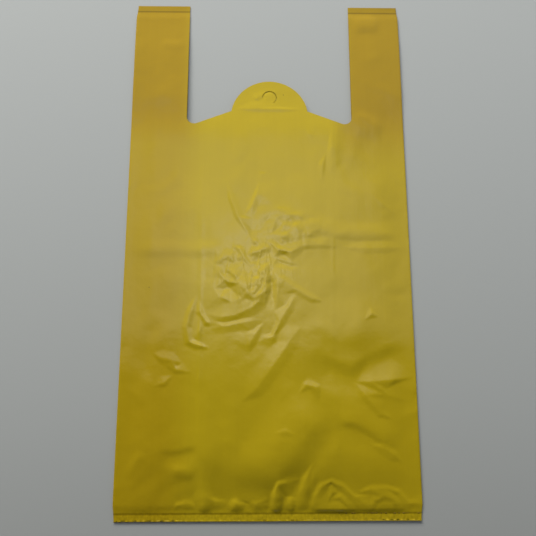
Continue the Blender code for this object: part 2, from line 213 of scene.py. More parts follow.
# Soft folds, rounded all over:
FOLDS = (
    (0.5, 13, 9, ((-149, 267), (-100, 266.5), (-62, 266.5), (-38, 271))),
    (0.75, 15, 9, ((18, 272), (30, 281), (45, 287), (60, 289), (80, 285), (100, 284), (149, 286))),
    (0.5, 11, 9, ((-14, 304), (6, 306), (30, 304))),
    # Hollow that the wedge and the pillow above it lie in
    (-1.15, 24, 15, ((149, 164), (128, 155), (104, 144), (86, 134), (72, 137), (55, 145), (34, 151))),
    # Broad slope from the middle down to the left
    (1.8, 34, 40, ((53, 110), (38, 94), (18, 68), (0, 44), (-12, 22))),
    (-0.7, 16, 18, ((72, 98), (50, 70), (28, 40), (14, 18))),
    (0.9, 20, 8, ((64, 93), (76, 94), (90, 91), (105, 83), (118, 73), (126, 64))),
    # Lower left
    (-0.8, 7, 14, ((-108, 60), (-88, 60), (-66, 66))),
    (0.6, 7, 9, ((-95, 45), (-84, 47), (-72, 42))),
    (0.5, 7, 7, ((-138, 40), (-130, 54), (-121, 64))),
    (0.45, 4, 7, ((-137, 172), (-142, 156), (-141, 130), (-139, 106))),
    (-0.6, 12, 14, ((-112, 196), (-122, 176), (-124, 150), (-120, 128))),
    (0.4, 12, 12, ((-66, 128), (-62, 104), (-58, 72), (-54, 36))),
    (0.3, 10, 12, ((-36, 120), (-34, 90), (-32, 60))),
    # Film that stands up along the bottom weld and slopes down from it
    (0.8, 27, 4, ((38, 9.5), (52, 10.5), (66, 10.5), (80, 10.5), (92, 9.5))),
    (0.7, 21, 4, ((82, 9.5), (100, 10.5), (114, 10.5), (128, 10.5), (142, 9.5))),
    # Inner folds of the gussets, which show through the front
    (0.16, 2.5, 3, ((69, 344), (68, 250), (66, 160), (68, 80), (68, 20))),
    (0.25, 2.5, 3, ((-71, 404), (-70, 300), (-69, 200), (-68, 60), (-68, 20))),
    # Upper part and handles
    (-0.35, 9, 9, ((84, 406), (82, 380), (81, 350))),
    (0.7, 18, 14, ((92, 404), (108, 405), (128, 398))),
    (0.8, 14, 12, ((96, 528), (112, 531), (128, 526))),
    (0.35, 9, 9, ((-122, 505), (-104, 504), (-90, 502))),
    (0.4, 14, 14, ((-142, 442), (-124, 441), (-106, 446))),
    (0.4, 8, 8, ((98, 424), (110, 414), (124, 404))),
)

# Broad rises of the front, (height, middle, reach along, reach across, turn in degrees)
RISES = (
    (1.0, (84, 188), 54, 36, 8),
    (0.7, (-32, 222), 40, 24, 10),
    (0.5, (112, 44), 46, 36, 0),
    (0.5, (112, 322), 44, 34, -20),
    (0.5, (-92, 236), 60, 36, 30),
    (-0.4, (-85, 100), 50, 30, 80),
    (1.1, (8, 15), 7, 24, 0),
    (0.8, (37, 28), 9, 28, -20),
    (0.7, (22, 13), 5, 13, 0),
    (0.8, (-61, 12), 8, 18, 0),
    (0.7, (-31, 12), 9, 13, 0),
)

# Film that is crumpled finely: (middle, reach along X, reach along Y, depth)
CRUMPLED = (
    ((-22, 238), 42, 32, 0.9),
    ((22, 284), 44, 24, 0.8),
    ((40, 312), 60, 50, 0.10),
    ((70, 185), 50, 40, 0.14),
    ((-10, 165), 45, 34, 0.12),
    ((0, 16), 150, 12, 0.3),
)

# Fine facets of the crumpled film: (share of the depth, size), in millimetres
CRUMPLE_FACETS = ((0.65, 13.0), (0.35, 6.5))

# Waves of the whole front: (height, size of the lumps, seed, how much longer they are along Y)
WAVES = ((0.55, 62.0, 4.2, 1.0), (0.22, 21.0, 8.5, 1.6), (0.06, 8.0, 1.5, 1.8))

# Where the relief fades out: beside the bottom weld, below the top ones and towards the sides
BOTTOM_FADE = 3.0
TOP_FADE = 7.0
SIDE_FADE = 0.75

# Slit, drawn-in ends, welds and the rise of the layers between them, in millimetres or as shares
SLIT_BELOW_TOP = 19.6
SLIT_RADIUS = 7.6
SLIT_WIDTH = 0.5
SLIT_FROM = math.radians(-55)
SLIT_TO = math.radians(180)
SLIT_DROP = 0.5
END_DRAW_IN = 1.5
DRAW_IN_RUN = 18.0
WELD_HALF = 0.8
WELD_RUN = 8.0
WELD_SHARE = 0.45
SKIRT_FREED = 0.5
STRAP_RISE = 45.0
CROWN_RUN = 55.0
TAB_DROP = 0.6

# Beads of melted film along the bottom weld, in millimetres: most are at its right
BEADS_FROM = 56.0
BEADS_TO = 146.0
BEAD_SPACING = 2.1
BEAD_SMALLEST = (0.5, 0.35, 0.15)
BEAD_LARGEST = (1.6, 0.75, 0.35)
BEAD_SHARE = 0.45
BEAD_SEED = 4

# Where the film was crushed most, in millimetres
CRUSHED_MIDDLE = (-16.0, 244.0)
CRUSHED_CORE = 15.0
CRUSHED_REACH = 58.0

# Dark specks in the film, (x, y, radius)
SPECKS = ((17.4, 442.8, 0.7), (-123.0, 227.0, 0.7))

# Sharpest turn that is shaded round: the folded edges are, the cut ones aren't
CUT_EDGE_ANGLE = math.radians(70)

# Fineness of the outline, in millimetres
EDGE_STEP = 4.0
SKIRT_STEP = 1.6
WELD_STEP = 2.0
CORNER_STEP = 1.5
SHOULDER_PARTS = 14
TAB_STEP = 2.2
SLIT_STEP = 1.2

# Layers of the folded film, by the number of layers beneath each
BACK, LOWER_GUSSET, UPPER_GUSSET, FRONT = range(4)

# Fineness of the film's mesh, in millimetres: a coarse lattice, and a fine one where the film is creased
FRONT_STEP = 3.0
FINE_STEP = 1.5
FINE_SHIFT = 0.3
PLAIN_STEP = 12.0
BEND_STEPS = 3
CREST_STEP = 1.8
BUSY_REACH = 9.0
BUSY_CRUMPLE = 0.3
SKIRT_REACH = 14.0

# How near the lattice comes to the mesh's lines, and the crests to the weld and the sides, in millimetres
LINE_GAP = 0.8
PLAIN_GAP = 3.0
WELD_GAP = 2.2
CREST_GAP = 3.0
SAME_PLACE = 1e-4

# Facets of the creased front, in millimetres: CREASE_HEIGHT and END_SHARE scale the heights in CREASES
CREASE_HEIGHT = 1.1
END_SHARE = 0.1
FOLD_END = 0.25
FOOT_CLEARANCE = 3.0
CREST_MARK = 3.0
ROUND_PLACES = 6
ROUND_REACH = 0.6

# Scattered corners of the facets between the creases, coarse ones and then, where the film is crumpled,
# fine ones: (step, least distance to another corner as a share of the step)
GROUNDS = ((26.0, 0.6), (9.0, 0.5))
GROUND_SCATTER = 0.42
GROUND_CRUMPLED = 0.25
GROUND_WAVE = 0.5
GROUND_LUMP = 11.0
GROUND_BORDER = 100.0

# Floor and the dark card that shades the near end, in metres
FLOOR_SIZE = (6.0, 6.0)
FLOOR_PLACE = (0.0, 0.0, -0.0002)
SHADE_SIZE = (1.6, 1.2)
SHADE_PLACE = (0.0, -0.70, 0.48)

# Area lights: (name, place, target, size, watts, colour, whether gloss mirrors it). The window isn't
# mirrored, because it would turn the film and the floor white in low views towards it.
LIGHTS = (
    ("window", (-0.90, 2.50, 0.98), (0.0, 0.12, 0.0), (2.2, 0.9), 143.0, (1.0, 0.96, 0.89), False),
    ("ceiling", (-0.05, 0.42, 1.50), (-0.05, 0.42, 0.0), (1.25, 0.85), 1.7, (0.98, 1.0, 0.98), True),
    ("lamp", (-0.06, 0.24, 1.49), (-0.06, 0.24, 0.0), (0.4, 0.3), 0.65, (1.0, 1.0, 0.94), True),
)

# Even light of the room, in linear colour
ROOM_COLOUR = (0.78, 0.82, 0.85, 1.0)
ROOM_STRENGTH = 0.64

# Camera, fitted to the bag's outline in the photograph, with its side and focal length in pixels
IMAGE_SIDE = 536
FOCAL_PIXELS = 500
SENSOR_WIDTH = 36.0
NEAREST_SEEN = 0.01
CAMERA_PLACE = (-0.0072, 0.1561 - BAG_LENGTH / 2 * MM, 0.5172)
CAMERA_PITCH = math.radians(10.06)
CAMERA_YAW = math.radians(-0.81)
CAMERA_ROLL = math.radians(0.07)


def smoothstep(low, high, value):
    """A smooth rise from 0 at low to 1 at high."""
    share = np.clip((np.asarray(value, float) - low) / (high - low), 0.0, 1.0)
    return share * share * (3 - 2 * share)


class Layout:
    """Places on the flat bag, in millimetres from the middle of its bottom edge, from its sizes."""

    def __init__(self, sizes):
        self.half = sizes.width / MM / 2
        self.length = sizes.length / MM
        self.film = sizes.film / MM
        self.pitch = sizes.layer / MM
        self.bend = self.pitch / 2
        self.gusset_inner = self.half - sizes.gusset / MM
        self.bottom_weld = sizes.skirt / MM
        self.top_weld = self.length - self.bottom_weld
        self.mouth_low = self.length - sizes.handle / MM
        self.mouth_half = sizes.mouth / MM / 2
        self.corner = sizes.corner / MM
        self.shoulder = sizes.shoulder
        self.tab_radius = sizes.tab_radius / MM
        self.tab_top = self.mouth_low + sizes.tab_rise / MM
        self.die_offset = sizes.die_offset / MM
        self.crown = sizes.crown / MM
        self.strap_arch = sizes.strap_arch / MM
        self.slit_centre = (self.die_offset, self.tab_top - SLIT_BELOW_TOP)

    def edge(self, y):
        """Half the bag's flat width at y, drawn in at the welded ends, less the bend."""
        to_end = np.minimum(y, self.length - np.asarray(y, float))
        return self.half - self.bend - END_DRAW_IN * (1 - smoothstep(0, DRAW_IN_RUN, to_end))

    def layers(self, y):
        """Distance between two folded layers at y, least at a weld."""
        y = np.asarray(y, float)
        to_weld = np.minimum(abs(y - self.bottom_weld), abs(y - self.top_weld))
        freed = smoothstep(WELD_HALF, WELD_HALF + WELD_RUN, to_weld)
        freed = np.where((y < self.bottom_weld) | (y > self.top_weld), SKIRT_FREED * freed, freed)
        return self.pitch * (WELD_SHARE + (1 - WELD_SHARE) * freed)

    def along(self, y):
        """The same place along Y in the frame, in metres."""
        return (y - self.length / 2) * MM

    def strap_lift(self, x, y):
        """How far the upper layers of the straps stand off the lower ones."""
        foot = self.top_weld - WELD_HALF - WELD_RUN
        along = smoothstep(self.mouth_low, self.mouth_low + STRAP_RISE, y)
        along = along * (1 - smoothstep(foot - STRAP_RISE, foot, y))
        return self.strap_arch * along * smoothstep(self.gusset_inner, self.mouth_half - 2, abs(x))

    def crown_height(self, x, y):
        """How far the front stands off the gussets: most in the middle, and nothing at the sides and ends."""
        start = self.bottom_weld + WELD_HALF
        height = self.crown * smoothstep(start, start + CROWN_RUN, y)
        height = height * (1 - TAB_DROP * smoothstep(self.mouth_low - 20, self.tab_top, y))
        height = height * (1 - smoothstep(self.tab_top, self.top_weld - WELD_HALF - WELD_RUN, y))
        return height * np.maximum(1 - (np.asarray(x) / self.half) ** 2, 0.0)


def arc(centre, radius, start, end, step):
    """Points on an arc, about a step apart."""
    count = max(math.ceil(abs(end - start) * radius / step), 2)
    angles = [start + (end - start) * i / count for i in range(count + 1)]
    return [(centre[0] + radius * math.cos(a), centre[1] + radius * math.sin(a)) for a in angles]


def even(start, end, step):
    """Even places from start up to but not at end."""
    count = max(round(abs(end - start) / step), 1)
    return [start + (end - start) * i / count for i in range(count)]


def edge_rows(lay):
    """Places along Y of the points on every folded edge: finer at the welds."""
    low = [lay.bottom_weld - WELD_HALF, lay.bottom_weld + WELD_HALF]
    high = [lay.top_weld - WELD_HALF, lay.top_weld + WELD_HALF]
    free = [low[1] + WELD_RUN, high[0] - WELD_RUN]
    rows = even(0.0, low[0], SKIRT_STEP) + [low[0], lay.bottom_weld] + even(low[1], free[0], WELD_STEP)
    rows += even(free[0], lay.mouth_low, EDGE_STEP) + even(lay.mouth_low, free[1], EDGE_STEP)
    rows += even(free[1], high[0], WELD_STEP) + [high[0], lay.top_weld]
    return rows + even(high[1], lay.length, SKIRT_STEP) + [lay.length]


def side_cut(lay, rows, side):
    """The die cut on one side, from the strap's end to the tab's top, with +X towards that side's strap."""
    middle = side * lay.die_offset
    strap_x = middle + lay.mouth_half
    corner = (strap_x - lay.corner, lay.mouth_low + lay.corner)
    points = [(strap_x, y) for y in reversed(rows) if y > corner[1] + EDGE_STEP / 2]
    points += arc(corner, lay.corner, 0.0, -math.pi / 2 - lay.shoulder, CORNER_STEP)
    foot = Vector(points[-1])
    along = Vector((-math.cos(lay.shoulder), math.sin(lay.shoulder)))
    centre = Vector((middle, lay.tab_top - lay.tab_radius))
    beside = (centre - foot).dot(along)
    off_line = (centre - foot - beside * along).length
    meet = foot + along * (beside - math.sqrt(lay.tab_radius ** 2 - off_line ** 2))
    points += [tuple(foot.lerp(meet, i / SHOULDER_PARTS)) for i in range(1, SHOULDER_PARTS)]
    start = math.atan2(meet.y - centre.y, meet.x - centre.x)
    return points + arc(centre, lay.tab_radius, start, math.pi / 2, TAB_STEP)


def panel_plan(lay, rows):
    """The outline of the front and the back as one closed loop: left edge, die cut, right edge."""
    left = [(-float(lay.edge(y)), y) for y in rows]
    right = [(float(lay.edge(y)), y) for y in reversed(rows)]
    cut = [(-x, y) for x, y in side_cut(lay, rows, -1)] + side_cut(lay, rows, 1)[::-1][1:]
    return left + cut + right


def gusset_plan(lay, rows, side):
    """One gusset layer's outline: up the inner bend, along the die cut, down the outer edge."""
    inner = lay.gusset_inner + lay.bend
    cut = side_cut(lay, rows, side)
    beyond = [point for point in cut if point[0] > inner + 0.5]
    last, after = Vector(beyond[-1]), Vector(cut[len(beyond)])
    end = last.lerp(after, (last.x - inner) / (last.x - after.x)).y
    bend = [(inner, y) for y in rows if y < end - 1.0] + [(inner, end)]
    outer = [(float(lay.edge(y)), y) for y in reversed(rows)]
    return [(side * x, y) for x, y in bend + beyond[::-1] + outer], len(bend)


def inside(points, loop):
    """Which of the points lie inside the closed loop, as an array of truths."""
    x, y = points[:, 0], points[:, 1]
    within = np.zeros(len(points), bool)
    for (ax, ay), (bx, by) in zip(loop, loop[1:] + loop[:1]):
        if ay != by:
            crosses = (ay > y) != (by > y)
            within ^= crosses & (x < ax + (bx - ax) * (y - ay) / (by - ay))
    return within


def feet_of(crease):
    """Places of a crease's crest, and beside them those of its feet: all as (x, y)."""
    _height, left, right, route = crease
    p = np.array(route, float)
    along = np.gradient(p, axis=0)
    along /= np.linalg.norm(along, axis=1)[:, None]
    beside = np.column_stack([-along[:, 1], along[:, 0]])
    middle = slice(1, -1) if len(p) > 2 else slice(0, 2)
    feet = np.vstack([p[middle] + left * beside[middle], p[middle] - right * beside[middle]])
    return p, np.vstack([feet, p[:1] - 0.3 * left * along[:1], p[-1:] + 0.3 * left * along[-1:]])


def near_places(places, gap):
    """A test for lying within gap of any of the places."""
    tree = kdtree.KDTree(len(places))
    for i, place in enumerate(places):
        tree.insert((place[0], place[1], 0.0), i)
    tree.balance()
    return lambda point: tree.find((point[0], point[1], 0.0))[2] < gap


def ground_corners(lay, taken, number):
    """Scattered corners of facets between the creases, clear of the places taken, and their heights."""
    step, gap = GROUNDS[number]
    spread = np.array([(x + (row % 2) * step / 2, y) for row, y in enumerate(np.arange(0, lay.length, step))
                       for x in np.arange(-lay.half, lay.half, step)])
    spread += step * GROUND_SCATTER * noise_pairs(spread, step, 5.0 + number)
    crumple = crumple_share(spread)
    chosen = crumple > GROUND_CRUMPLED if number else crumple <= GROUND_CRUMPLED
    near = near_places(taken, gap * step)
    corners, heights = [], []
    for (x, y), depth in zip(spread[chosen], crumple[chosen]):
        if not near((x, y)):
            corners.append((x, y))
            wave = noise.noise((x / GROUND_LUMP, y / GROUND_LUMP, 2.0))
            heights.append(GROUND_WAVE * wave * (1 + 3 * depth))
    return corners, heights


def film_facets(lay):
    """The flat facets of the creased front: a triangle's three places with their heights, one row each."""
    places, heights, edges = [], [], []
    for crease in CREASES:
        route, _feet = feet_of(crease)
        first = len(places)
        ends = np.ones(len(route))
        ends[[0, -1]] = END_SHARE
        places += [tuple(point) for point in route]
        heights += list(CREASE_HEIGHT * crease[0] * ends)
        edges += [(i, i + 1) for i in range(first, len(places) - 1)]
    crests = [point for crease in CREASES for point in divided(crease[3], CREST_MARK)]
    close = near_places(crests, FOOT_CLEARANCE)
    for crease in CREASES:
        _route, feet = feet_of(crease)
        kept = [tuple(foot) for foot in feet if not close(foot)]
        places += kept
        heights += [0.0] * len(kept)
    for number in range(len(GROUNDS)):
        corners, waves = ground_corners(lay, places + crests, number)
        places += corners
        heights += waves
    border = [(x, y) for x in (-2 * lay.half, 2 * lay.half)
              for y in (-GROUND_BORDER, lay.length + GROUND_BORDER)]
    places += border
    heights += [0.0] * len(border)
    made, _, faces, sources, _, _ = delaunay_2d_cdt([Vector(p) for p in places], edges, [], 0, SAME_PLACE)
    points = np.array([tuple(p) for p in made])
    values = np.array([np.mean([heights[i] for i in found]) if found else np.nan for found in sources])
    # Where two crests cross, the new corner takes the mean height of the nearest two
    for i in np.nonzero(np.isnan(values))[0]:
        known = ~np.isnan(values)
        away = np.hypot(*(points[known] - points[i]).T)
        nearest = np.argsort(away)[:2]
        values[i] = values[known][nearest].mean()
    corners = np.array([face for face in faces if len(face) == 3])
    return points[corners], values[corners]


def noise_pairs(points, size, seed):
    """A shift along X and one along Y for each point, mostly from -1 to 1."""
    return np.array([(noise.noise((x / size, y / size, seed)), noise.noise((x / size, y / size, seed + 40)))
                     for x, y in points]) * 2


def crumple_share(points):
    """How finely crumpled the film is, from 0 to 1."""
    share = np.zeros(len(points))
    for (mx, my), rx, ry, depth in CRUMPLED:
        away = ((points[:, 0] - mx) / rx) ** 2 + ((points[:, 1] - my) / ry) ** 2
        share = np.maximum(share, depth * np.clip(1.3 - away, 0, 1))
    return share


def divided(route, step):
    """The route's points with others between them, no further apart than step."""
    result = []
    for start, end in zip(route, route[1:]):
        start, end = Vector(start), Vector(end)
        count = max(math.ceil((end - start).length / step), 1)
        result += [tuple(start.lerp(end, i / count)) for i in range(count)]
    return result + [tuple(route[-1])]


def facet_height(points, facets):
    """Height of the facets at the points."""
    corners, values = facets
    order = np.argsort(points[:, 1])
    x, y = points[order].T
    found = np.zeros(len(points))
    for (a, b, c), (ha, hb, hc) in zip(corners, values):
        low, high = min(a[1], b[1], c[1]), max(a[1], b[1], c[1])
        span = slice(*np.searchsorted(y, (low, high)))
        area = (b[0] - a[0]) * (c[1] - a[1]) - (c[0] - a[0]) * (b[1] - a[1])
        if span.start == span.stop or abs(area) < 1e-9:
            continue
        u = ((x[span] - a[0]) * (c[1] - a[1]) - (c[0] - a[0]) * (y[span] - a[1])) / area
        v = ((b[0] - a[0]) * (y[span] - a[1]) - (x[span] - a[0]) * (b[1] - a[1])) / area
        inner = (u >= -1e-6) & (v >= -1e-6) & (u + v <= 1 + 1e-6)
        found[span][inner] = (ha + u * (hb - ha) + v * (hc - ha))[inner]
    result = np.empty(len(points))
    result[order] = found
    return result


def rounded_facets(points, facets):
    """The facets' height with their borders rounded: the mean of a ring of places round each point."""
    total = facet_height(points, facets)
    for i in range(ROUND_PLACES):
        angle = 2 * math.pi * i / ROUND_PLACES
        aside = ROUND_REACH * np.array([math.cos(angle), math.sin(angle)])
        total = total + facet_height(points + aside, facets)
    return total / (ROUND_PLACES + 1)


def curve_through(route, step=4.0):
    """A smooth curve through the route's points, as an array of points about a step apart."""
    p = np.array(route, float)
    p = np.vstack([2 * p[0] - p[1], p, 2 * p[-1] - p[-2]])
    out = []
    for i in range(1, len(p) - 2):
        count = max(int(np.linalg.norm(p[i + 1] - p[i]) / step), 1)
        t = (np.arange(count) / count)[:, None]
        out.append(0.5 * (2 * p[i] + (p[i + 1] - p[i - 1]) * t
                          + (2 * p[i - 1] - 5 * p[i] + 4 * p[i + 1] - p[i + 2]) * t ** 2
                          + (3 * p[i] - p[i - 1] - 3 * p[i + 1] + p[i + 2]) * t ** 3))
    return np.vstack(out + [p[-2:-1]])


def fold_height(points, fold):
    """Height that one soft fold adds at the points."""
    height, left, right, route = fold
    curve = curve_through(route)
    reach = max(left, right)
    low, high = curve.min(0) - reach, curve.max(0) + reach
    near = np.nonzero(((points > low) & (points < high)).all(1))[0]
    here = points[near]
    best = np.full(len(near), np.inf)
    signed = np.zeros(len(near))
    share = np.zeros(len(near))
    steps = np.diff(curve, axis=0)
    lengths = np.linalg.norm(steps, axis=1)
    starts = np.concatenate([[0.0], np.cumsum(lengths)])
    for a, step, length, start in zip(curve, steps, lengths, starts):
        offset = here - a
        t = np.clip(offset @ step / length ** 2, 0, 1)
        away = np.hypot(*(offset - t[:, None] * step).T)
        closer = away < best
        side = np.sign(step[0] * offset[:, 1] - step[1] * offset[:, 0])
        best = np.where(closer, away, best)
        signed = np.where(closer, away * side, signed)
        share = np.where(closer, (start + t * length) / starts[-1], share)
    away = np.clip(abs(signed) / np.where(signed > 0, left, right), 0, 1)
    added = np.zeros(len(points))
    ends = smoothstep(0, FOLD_END, share) * smoothstep(0, FOLD_END, 1 - share)
    added[near] = height * (1 - away ** 2) ** 2 * ends
    return added


def rise_height(points, rise):
    """Height that one broad rise adds at the points."""
    height, middle, along, across, turn = rise
    angle = math.radians(turn)
    rel = points - np.array(middle, float)
    u = rel[:, 0] * math.cos(angle) + rel[:, 1] * math.sin(angle)
    v = -rel[:, 0] * math.sin(angle) + rel[:, 1] * math.cos(angle)
    away = np.clip((u / along) ** 2 + (v / across) ** 2, 0, 1)
    return height * (1 - away) ** 2


def noise_at(points, size, seed, stretch=1.0):
    """Smooth noise from -1 to 1 with lumps of the given size; stretch makes them longer along Y."""
    return np.array([noise.noise((x / size, y / (size * stretch), seed)) for x, y in points])


def facets_at(points, size, seed):
    """Flat facets with sharp borders, as in crumpled film, from 0 at a border to about 1."""
    made = np.empty(len(points))
    for i, (x, y) in enumerate(points):
        near, _places = noise.voronoi((x / size, y / size, seed))
        made[i] = near[1] - near[0]
    return made


def crumple_height(points):
    """The fine crumple of a few stretches of the front."""
    added = np.zeros(len(points))
    for number, ((mx, my), rx, ry, depth) in enumerate(CRUMPLED):
        away = ((points[:, 0] - mx) / rx) ** 2 + ((points[:, 1] - my) / ry) ** 2
        near = np.nonzero(away < 1)[0]
        seeds = (3.7 * number, 9.1 + number)
        facets = sum(share * facets_at(points[near], size, seed)
                     for (share, size), seed in zip(CRUMPLE_FACETS, seeds))
        added[near] += depth * facets * (1 - away[near])
    return added


def skirt_waves(lay, points):
    """Upright waves 8 and 5 mm apart, with lumps of 2 mm, that the weld's heat drew into the film."""
    x, y = points[:, 0], points[:, 1]
    across = np.sin(x / 1.35 + 2.2 * np.sin(x / 9.0)) * (0.6 + 0.4 * np.sin(x / 17.0 + 1.0))
    across += 0.5 * np.sin(x / 0.83 + 1.7 * np.sin(x / 6.1))
    weld = lay.bottom_weld
    fade = np.where(y < weld, 1 - 0.3 * y / weld, np.exp(-(y - weld) / 3.5))
    fade = fade * smoothstep(0, 1.2, abs(y - weld))
    lumps = noise_at(points, 2.6, 3.3, 0.8) + 0.6 * noise_at(points, 1.5, 7.1)
    return (0.13 * (across + 1.0) + 0.16 * lumps) * fade


def flap_drop(lay, points):
    """How far the flap inside the round slit has dropped: most at its free upper edge."""
    x, y = (points - np.array(lay.slit_centre)).T / SLIT_RADIUS
    away = np.hypot(x, y)
    return SLIT_DROP * (away < 1) * smoothstep(-0.9, 0.6, y + 0.35 * x) * smoothstep(0.2, 1.0, away)


def front_relief(lay, points):
    """Height of the front over the layers beneath it: crown, creases, rises, crumple and waves."""
    x, y = points[:, 0], points[:, 1]
    relief = lay.crown_height(x, y)
    relief += rounded_facets(points, film_facets(lay))
    for fold in FOLDS:
        relief += fold_height(points, fold)
    for rise in RISES:
        relief += rise_height(points, rise)
    relief += crumple_height(points)
    for height, size, seed, stretch in WAVES:
        relief += height * noise_at(points, size, seed, stretch)
    start, end = lay.bottom_weld + WELD_HALF, lay.top_weld - WELD_HALF
    relief *= smoothstep(start, start + BOTTOM_FADE, y) * (1 - smoothstep(end - TOP_FADE, end, y))
    relief *= 1 - SIDE_FADE * smoothstep(0.8, 1.0, abs(x) / lay.half)
    return np.maximum(relief, 0.0) + skirt_waves(lay, points) - flap_drop(lay, points)


def layer_height(lay, points, beneath):
    """Height of the middle of a layer of film that has so many layers beneath it."""
    x, y = points[:, 0], points[:, 1]
    height = lay.film / 2 + beneath * lay.layers(y)
    if beneath >= UPPER_GUSSET:
        height = height + lay.strap_lift(x, y)
    if beneath == FRONT:
        height = height + front_relief(lay, points)
    return height


def slit_loop(lay):
    """The thin curved gap of the hanging slit."""
    outer = arc(lay.slit_centre, SLIT_RADIUS + SLIT_WIDTH / 2, SLIT_FROM, SLIT_TO, SLIT_STEP)
    inner = arc(lay.slit_centre, SLIT_RADIUS - SLIT_WIDTH / 2, SLIT_TO, SLIT_FROM, SLIT_STEP)
    return outer + inner


def lattice(lay, loop, step, shift=0.0):
    """Points of a triangular lattice inside the loop."""
    rise = step * math.sqrt(3) / 2
    rows = np.arange(rise / 2, lay.length, rise)
    columns = np.arange(-lay.half, lay.half, step)
    points = [np.column_stack([columns + (step / 2 if i % 2 else 0) + shift, np.full(len(columns), y)])
              for i, y in enumerate(rows)]
    points = np.vstack(points)
    return points[inside(points, loop)]


def busy(points):
    """Which points lie where the film is creased, and so need a finer mesh."""
    near = near_places([point for crease in CREASES for point in divided(crease[3], 4.0)], BUSY_REACH)
    creased = np.array([near(point) for point in points])
    return creased | (crumple_share(points) > BUSY_CRUMPLE) | (points[:, 1] < SKIRT_REACH)


def away_from(points, border, gap):
    """The points that lie at least gap from every one of the border's points."""
    near = near_places(border, gap)
    return points[[not near(point) for point in points]]


def weld_lines(lay, rows, step):
    """Lines of points across the film along the bottom weld and its borders, which the mesh follows."""
    made = []
    weld = lay.bottom_weld
    for y in (weld - WELD_HALF, weld, weld + WELD_HALF, weld + WELD_HALF + WELD_RUN):
        row = min(rows, key=lambda place: abs(place - y))
        edge = float(lay.edge(row))
        made.append([(x, row) for x in even(-edge, edge, step)] + [(edge, row)])
    return made


def add_layer(bm, lay, loop, spots, beneath, lines=(), holes=()):
    """Add the layer of film with so many beneath it to the mesh, and return its points round the loop."""
    places = list(loop)
    edges = [(i, (i + 1) % len(loop)) for i in range(len(loop))]
    for hole in holes:
        first = len(places)
        places += hole
        edges += [(first + i, first + (i + 1) % len(hole)) for i in range(len(hole))]
    for line in lines:
        first = len(places)
        places += line
        edges += [(i, i + 1) for i in range(first, len(places) - 1)]
    places += [tuple(p) for p in spots]
    made, _, faces, sources, _, _ = delaunay_2d_cdt([Vector(p) for p in places], edges, [], 0, SAME_PLACE)
    points = np.array([tuple(p) for p in made])
    heights = layer_height(lay, points, beneath)
    verts = [bm.verts.new((x, y, z)) for (x, y), z in zip(points, heights)]
    middles = np.array([points[list(face)].mean(0) for face in faces])
    kept = inside(middles, list(loop))
    for hole in holes:
        kept &= ~inside(middles, list(hole))
    for face, keep in zip(faces, kept):
        if keep:
            bm.faces.new([verts[i] for i in face])
    place_of = {source: verts[i] for i, found in enumerate(sources) for source in found}
    return [place_of[i] for i in range(len(loop))]


def add_bend(bm, lay, upper, lower, outward):
    """Join two layers along a folded edge with a half round."""
    rails = [upper]
    for step in range(1, BEND_STEPS):
        angle = math.pi / 2 - math.pi * step / BEND_STEPS
        rail = []
        for high, low in zip(upper, lower):
            middle, reach = (high.co + low.co) / 2, (high.co.z - low.co.z) / 2
            side = outward * lay.bend * math.cos(angle)
            rail.append(bm.verts.new((middle.x + side, middle.y, middle.z + reach * math.sin(angle))))
        rails.append(rail)
    rails.append(lower)
    for first, second in zip(rails, rails[1:]):
        for i in range(len(first) - 1):
            bm.faces.new((first[i], first[i + 1], second[i + 1], second[i]))


def front_spots(lay, loop, slit):
    """Places of the front's inner points: a lattice, and a finer one where the film is creased."""
    coarse = lattice(lay, loop, FRONT_STEP)
    coarse = coarse[~busy(coarse)]
    fine = lattice(lay, loop, FINE_STEP, FINE_SHIFT)
    fine = fine[busy(fine)]
    spots = np.vstack([coarse, fine])
    spots = spots[abs(spots[:, 1] - lay.bottom_weld) > WELD_GAP]
    crests = [point for line in crest_lines(lay, loop) for point in line]
    return away_from(spots, loop + slit + crests, LINE_GAP)


def crest_lines(lay, loop):
    """The crests of the creases as lines that the mesh follows, clear of the outline and the weld."""
    lines = []
    for crease in CREASES:
        points = np.array(divided(crease[3], CREST_STEP))
        clear = inside(points, loop) & (points[:, 1] > lay.bottom_weld + CREST_GAP)
        clear &= abs(points[:, 0]) < lay.half - CREST_GAP
        kept = [tuple(point) for point in points[clear]]
        if len(kept) > 1:
            lines.append(kept)
    return lines


def film_mesh(lay):
    """The whole film as one folded sheet, in millimetres from the middle of the bottom edge."""
    bm = bmesh.new()
    rows = edge_rows(lay)
    loop = panel_plan(lay, rows)
    slit = slit_loop(lay)
    front = add_layer(bm, lay, loop, front_spots(lay, loop, slit), FRONT,
                      weld_lines(lay, rows, FINE_STEP) + crest_lines(lay, loop), [slit])
    plain = away_from(lattice(lay, loop, PLAIN_STEP), loop + slit, PLAIN_GAP)
    back = add_layer(bm, lay, loop, plain, BACK, weld_lines(lay, rows, PLAIN_STEP / 2), [slit])
    count = len(rows)
    for side in (-1, 1):
        plan, bend_points = gusset_plan(lay, rows, side)
        upper = add_layer(bm, lay, plan, [], UPPER_GUSSET)
        lower = add_layer(bm, lay, plan, [], LOWER_GUSSET)
        add_bend(bm, lay, upper[:bend_points], lower[:bend_points], -side)
        front_edge = front[:count] if side < 0 else front[-count:][::-1]
        back_edge = back[:count] if side < 0 else back[-count:][::-1]
        add_bend(bm, lay, front_edge, upper[-count:][::-1], side)
        add_bend(bm, lay, lower[-count:][::-1], back_edge, side)
    bmesh.ops.delete(bm, geom=[v for v in bm.verts if not v.link_faces], context="VERTS")
    bmesh.ops.recalc_face_normals(bm, faces=bm.faces)
    place = Matrix.Translation((0.0, -lay.length / 2 * MM, 0.0)) @ Matrix.Scale(MM, 4)
    bm.transform(place)
    mesh = bpy.data.meshes.new("film")
    bm.to_mesh(mesh)
    bm.free()
    return mesh


